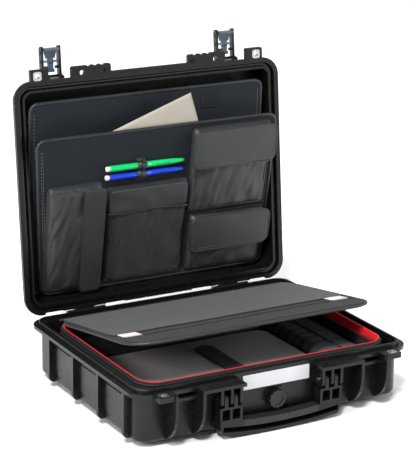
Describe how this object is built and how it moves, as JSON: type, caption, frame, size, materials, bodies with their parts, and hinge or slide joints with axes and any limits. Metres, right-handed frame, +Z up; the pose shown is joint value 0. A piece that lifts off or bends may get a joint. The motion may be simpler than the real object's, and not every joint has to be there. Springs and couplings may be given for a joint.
{
  "type": "laptop hard case",
  "caption": "Open hard case for a laptop: moulded ribbed shells on pin hinges, swing latches, hanging handle, pressure valve, padded bag in the base and pocket organiser in the lid.",
  "frame": {"origin": "middle of the flat pad under the base, on the plane the case stands on", "axes": "+X to the right along the hinge, -Y towards the handle and latches, +Z up"},
  "size_m": [0.474, 0.4831, 0.5054],
  "materials": {
    "case_plastic": "fine moulded grain, satin",
    "handle_plastic": "fine moulded grain, satin",
    "grip_rubber": "ribbed, matt",
    "nickel": "polished",
    "pin_steel": "turned",
    "latch_black": "satin",
    "latch_grey": "satin",
    "label_white": "smooth, blank",
    "valve_plastic": "satin",
    "gasket_rubber": "smooth",
    "bag_fabric": "padded weave",
    "lining_red": "smooth weave",
    "pad_grey": "brushed padding",
    "strap_black": "webbing",
    "pouch_grey": "ribbed weave",
    "zip_black": "coil zip",
    "slider_metal": "cast",
    "flap_grey": "stitched padding",
    "mesh_grey": "open mesh",
    "tag_white": "woven, blank",
    "panel_fabric": "brushed pile",
    "pocket_fabric": "plain weave",
    "piping_fabric": "bound edge",
    "paper_plain": "plain paper, blank",
    "pen_green_plastic": "gloss",
    "pen_blue_plastic": "gloss"
  },
  "bodies": {
    "base": {"base_shell": "case_plastic", "base_padlock_eyes": "nickel", "label_plate": "label_white", "valve_housing": "valve_plastic", "handle_pins": "pin_steel", "hinge_pins": "pin_steel", "bag_body": "bag_fabric", "bag_lining": "lining_red", "bag_zip_tape": "zip_black", "laptop_pad": "pad_grey", "pad_strap": "strap_black", "back_compartment": "bag_fabric", "cable_pouch": "pouch_grey", "pouch_zip": "zip_black"},
    "handle": {"handle_frame": "handle_plastic", "handle_grip": "grip_rubber"},
    "valve": {"valve_knob": "valve_plastic"},
    "pouch_slider": {"zip_slider": "slider_metal"},
    "flap": {"bag_flap": "flap_grey", "flap_mesh": "mesh_grey", "flap_front_band": "flap_grey", "flap_tags": "tag_white", "flap_binding": "piping_fabric"},
    "lid": {"lid_shell": "case_plastic", "lid_gasket": "gasket_rubber", "lid_padlock_eyes": "nickel", "latch_left_pivot_pin": "pin_steel", "latch_right_pivot_pin": "pin_steel"},
    "latch_left": {"latch_left_lever": "latch_black", "latch_left_hook_pin": "pin_steel"},
    "latch_left_claw": {"latch_left_hook": "latch_grey"},
    "latch_right": {"latch_right_lever": "latch_black", "latch_right_hook_pin": "pin_steel"},
    "latch_right_claw": {"latch_right_hook": "latch_grey"},
    "organiser_back": {"organiser_back_panel": "panel_fabric", "organiser_patch": "piping_fabric"},
    "organiser_front": {"organiser_front_panel": "panel_fabric", "tall_pouch": "pocket_fabric", "mesh_pocket": "pocket_fabric", "upper_pocket": "pocket_fabric", "lower_pocket": "pocket_fabric", "pen_loop": "piping_fabric", "document_sheet": "paper_plain"},
    "tall_flap": {"tall_pouch_flap": "pocket_fabric"},
    "upper_flap": {"upper_pocket_flap": "pocket_fabric"},
    "lower_flap": {"lower_pocket_flap": "pocket_fabric"},
    "green_pen": {"pen_green": "pen_green_plastic"},
    "blue_pen": {"pen_blue": "pen_blue_plastic"}
  },
  "joints": [
    {"name": "lid_hinge", "type": "hinge", "parent": "base", "child": "lid", "pos_m": [0, 0.189, 0.0875], "axis": [-1, 0, 0], "range_deg": [-95.5, 0]},
    {"name": "handle_swing", "type": "hinge", "parent": "base", "child": "handle", "pos_m": [0, -0.188, 0.0645], "axis": [-1, 0, 0], "range_deg": [0, 90]},
    {"name": "valve_turn", "type": "hinge", "parent": "base", "child": "valve", "pos_m": [0, -0.182, 0.044], "axis": [0, -1, 0], "range_deg": [0, 360]},
    {"name": "zip_slide", "type": "slide", "parent": "base", "child": "pouch_slider", "axis": [0, 1, 0], "range_m": [0, 0.215]},
    {"name": "flap_fold", "type": "hinge", "parent": "base", "child": "flap", "pos_m": [0, 0.14, 0.0973], "axis": [-1, 0, 0], "range_deg": [-9.4, 0]},
    {"name": "organiser_front_fold", "type": "hinge", "parent": "lid", "child": "organiser_front", "pos_m": [0, 0.2328, 0.1094], "axis": [1, 0, 0], "range_deg": [-14.5, 0]},
    {"name": "organiser_back_fold", "type": "hinge", "parent": "lid", "child": "organiser_back", "pos_m": [0, 0.23965, 0.11276], "axis": [1, 0, 0], "range_deg": [-8, 0]},
    {"name": "upper_pocket_lift", "type": "hinge", "parent": "organiser_front", "child": "upper_flap", "pos_m": [0.132, 0.17075, 0.3618], "axis": [-1, 0, 0], "range_deg": [0, 100]},
    {"name": "lower_pocket_lift", "type": "hinge", "parent": "organiser_front", "child": "lower_flap", "pos_m": [0.136, 0.19453, 0.21168], "axis": [-1, 0, 0], "range_deg": [0, 100]},
    {"name": "tall_pouch_open", "type": "hinge", "parent": "organiser_front", "child": "tall_flap", "pos_m": [-0.0982, 0.19625, 0.20081], "axis": [0, -0.1564, 0.9877], "range_deg": [0, 110]},
    {"name": "pen_green_pull", "type": "slide", "parent": "organiser_front", "child": "green_pen", "axis": [-1, 0, 0], "range_m": [0, 0.088]},
    {"name": "pen_blue_pull", "type": "slide", "parent": "organiser_front", "child": "blue_pen", "axis": [-1, 0, 0], "range_m": [0, 0.088]},
    {"name": "latch_left_swing", "type": "hinge", "parent": "lid", "child": "latch_left", "pos_m": [-0.1568, 0.25113, 0.45624], "axis": [-1, 0, 0], "range_deg": [-90, 0]},
    {"name": "latch_left_claw_swing", "type": "hinge", "parent": "latch_left", "child": "latch_left_claw", "pos_m": [-0.1568, 0.26407, 0.48112], "axis": [-1, 0, 0], "range_deg": [0, 20]},
    {"name": "latch_right_swing", "type": "hinge", "parent": "lid", "child": "latch_right", "pos_m": [0.1568, 0.25113, 0.45624], "axis": [-1, 0, 0], "range_deg": [-90, 0]},
    {"name": "latch_right_claw_swing", "type": "hinge", "parent": "latch_right", "child": "latch_right_claw", "pos_m": [0.1568, 0.26407, 0.48112], "axis": [-1, 0, 0], "range_deg": [0, 20]}
  ],
  "couplings": [
    {"joint": "organiser_front_fold", "follows": "lid_hinge", "ratio": 0.1518},
    {"joint": "organiser_back_fold", "follows": "lid_hinge", "ratio": 0.0837},
    {"joint": "flap_fold", "follows": "lid_hinge", "ratio": 0.0984}
  ]
}
